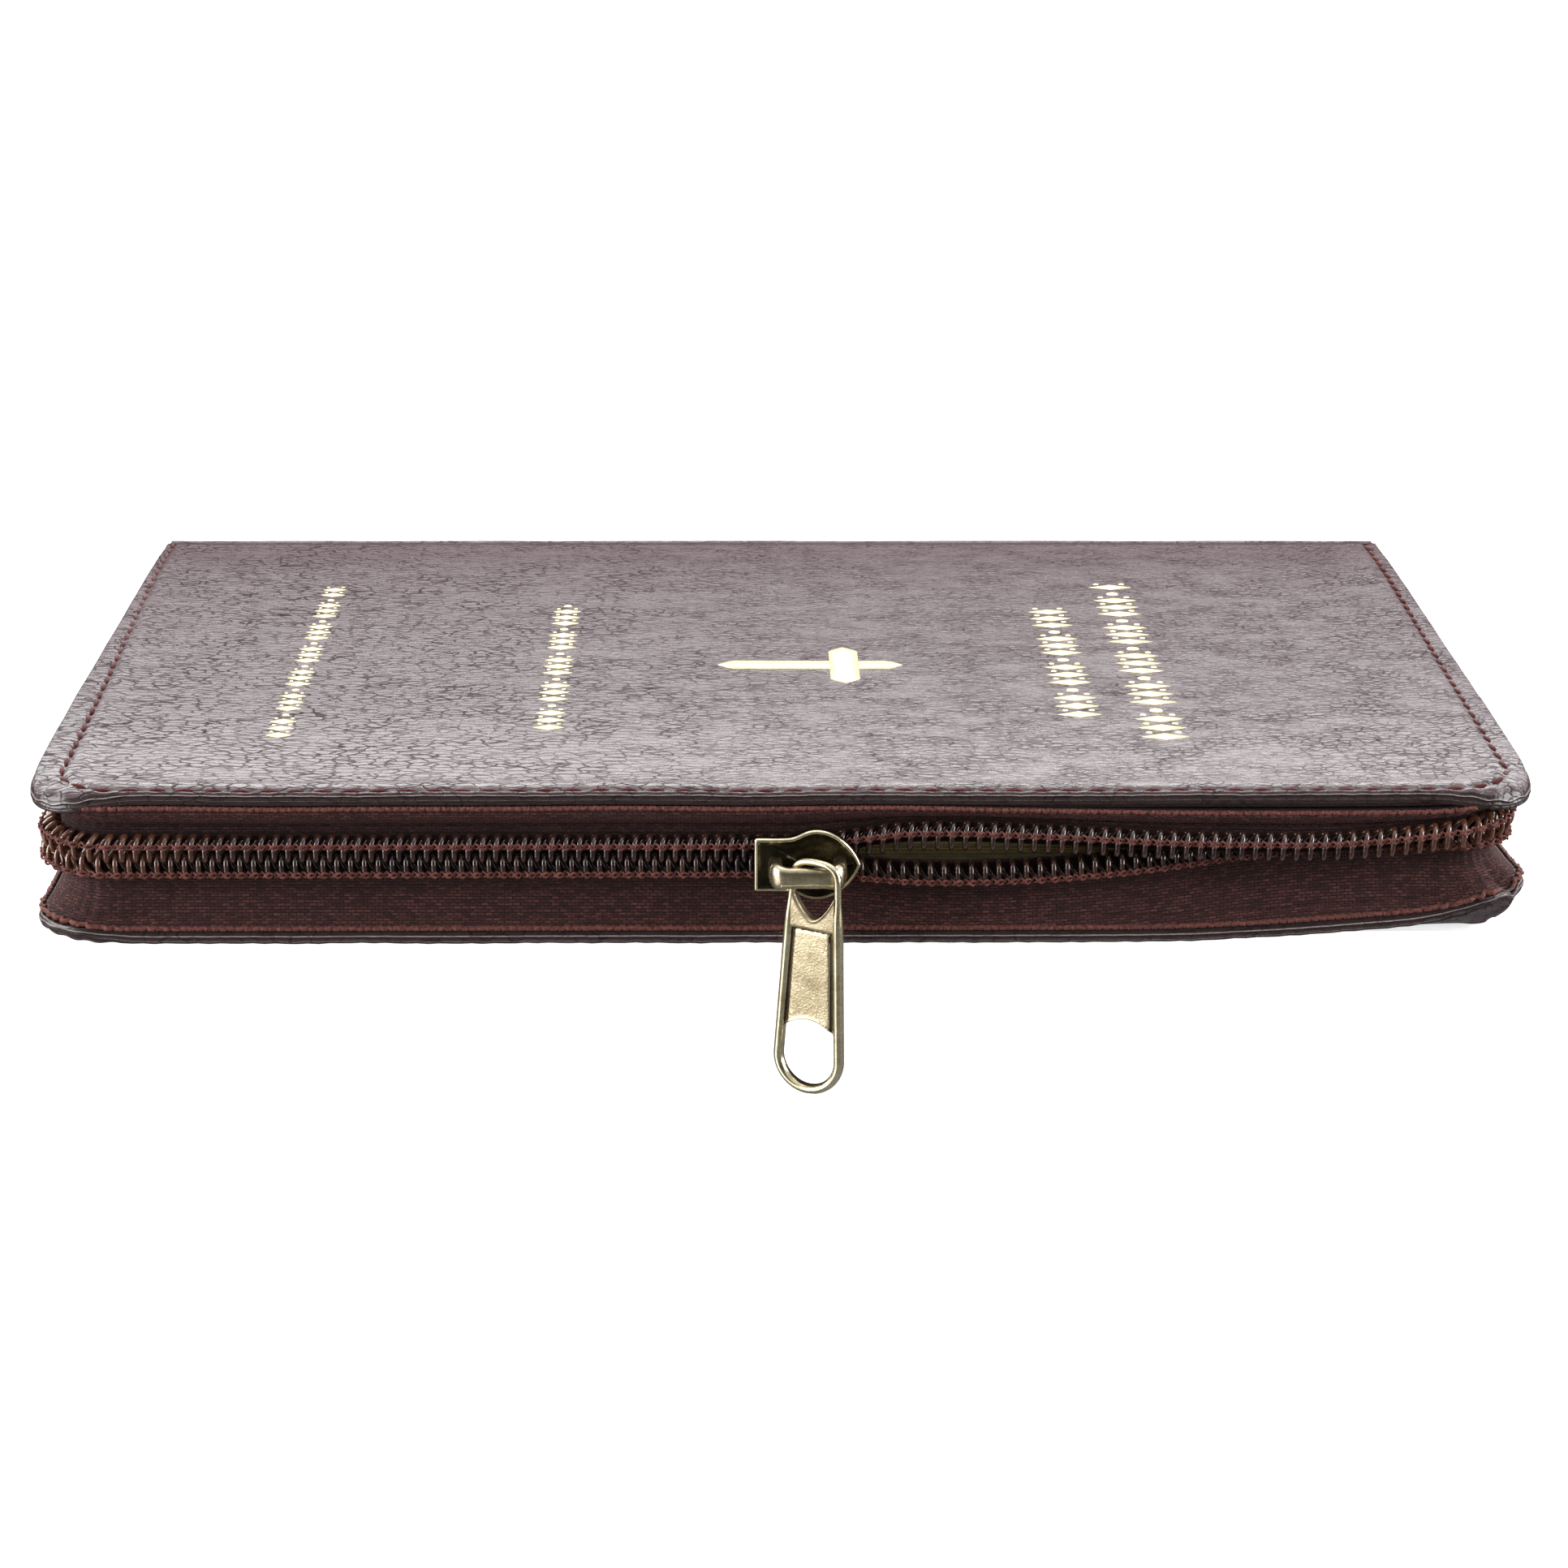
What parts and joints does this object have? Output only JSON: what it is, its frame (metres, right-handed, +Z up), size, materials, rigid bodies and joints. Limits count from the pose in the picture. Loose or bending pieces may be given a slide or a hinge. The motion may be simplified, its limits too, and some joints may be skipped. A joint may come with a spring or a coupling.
{
  "type": "zip-cased devotional book",
  "caption": "Pocket devotional book in a zip-around leather case, lying flat, with a coil zip round three sides, a brass slider and a hanging pull tab.",
  "frame": {"origin": "middle of the back cover's underside, on the plane that the book rests on; the cover's fore-edge is 53.5 mm from it and the spine's outer face 54 mm", "axes": "+X along the fore-edge, to the right when the fore-edge faces the viewer; +Y from the fore-edge to the spine; +Z up from the back cover to the front cover"},
  "size_m": [0.165, 0.1155, 0.0335],
  "materials": {
    "leather": "satin",
    "lining": "matte",
    "board": "matte",
    "zip_tape": "matte",
    "zip_coil": "gloss",
    "antique_brass": "satin",
    "gilt_pages": "satin",
    "endpaper": "matte",
    "binding_cloth": "matte",
    "foil": "gloss",
    "thread": "satin"
  },
  "bodies": {
    "root": {"back_cover_leather": "leather", "back_cover_board": "board", "back_cover_lining": "lining", "zipper_tape_back": "zip_tape", "zipper_coil_back": "zip_coil", "top_stop_back": "antique_brass", "bottom_stop": "antique_brass", "back_endpaper": "endpaper", "page_section_06": "gilt_pages", "page_section_07": "gilt_pages", "page_section_08": "gilt_pages", "page_section_09": "gilt_pages", "page_section_10": "gilt_pages"},
    "spine": {"spine_leather": "leather", "spine_board": "board", "spine_mull": "binding_cloth", "head_band": "binding_cloth", "tail_band": "binding_cloth"},
    "front_cover": {"front_cover_leather": "leather", "front_cover_board": "board", "front_cover_lining": "lining", "zipper_tape_front": "zip_tape", "zipper_coil_front": "zip_coil", "top_stop_front": "antique_brass", "front_endpaper": "endpaper", "page_section_01": "gilt_pages", "page_section_02": "gilt_pages", "page_section_03": "gilt_pages", "page_section_04": "gilt_pages", "page_section_05": "gilt_pages"},
    "leaves_front": {"turned_leaves_front": "gilt_pages"},
    "leaves_back": {"turned_leaves_back": "gilt_pages"},
    "slider": {"slider_body": "antique_brass"},
    "pull_tab": {"pull_tab": "antique_brass"}
  },
  "joints": [
    {"name": "spine_hinge", "type": "hinge", "parent": "root", "child": "spine", "pos_m": [0, 0.053, 0.001], "axis": [-1, 0, 0], "range_deg": [0, 90]},
    {"name": "front_hinge", "type": "hinge", "parent": "spine", "child": "front_cover", "pos_m": [0, 0.053, 0.017], "axis": [-1, 0, 0], "range_deg": [0, 90]},
    {"name": "front_leaves_turn", "type": "hinge", "parent": "spine", "child": "leaves_front", "pos_m": [0, 0.0505, 0.0093], "axis": [-1, 0, 0], "range_deg": [0, 45]},
    {"name": "back_leaves_turn", "type": "hinge", "parent": "spine", "child": "leaves_back", "pos_m": [0, 0.0505, 0.0087], "axis": [-1, 0, 0], "range_deg": [-45, 0]},
    {"name": "slider_slide", "type": "slide", "parent": "root", "child": "slider", "axis": [1, 0, 0], "range_m": [-0.068, 0.063]},
    {"name": "pull_tab_swing", "type": "hinge", "parent": "slider", "child": "pull_tab", "pos_m": [0.003, -0.059, 0.0097], "axis": [-1, 0, 0], "range_deg": [-4, 178]}
  ],
  "couplings": [
    {"joint": "front_hinge", "follows": "spine_hinge", "ratio": 1},
    {"joint": "front_leaves_turn", "follows": "spine_hinge", "ratio": 0.5},
    {"joint": "back_leaves_turn", "follows": "spine_hinge", "ratio": -0.5}
  ]
}
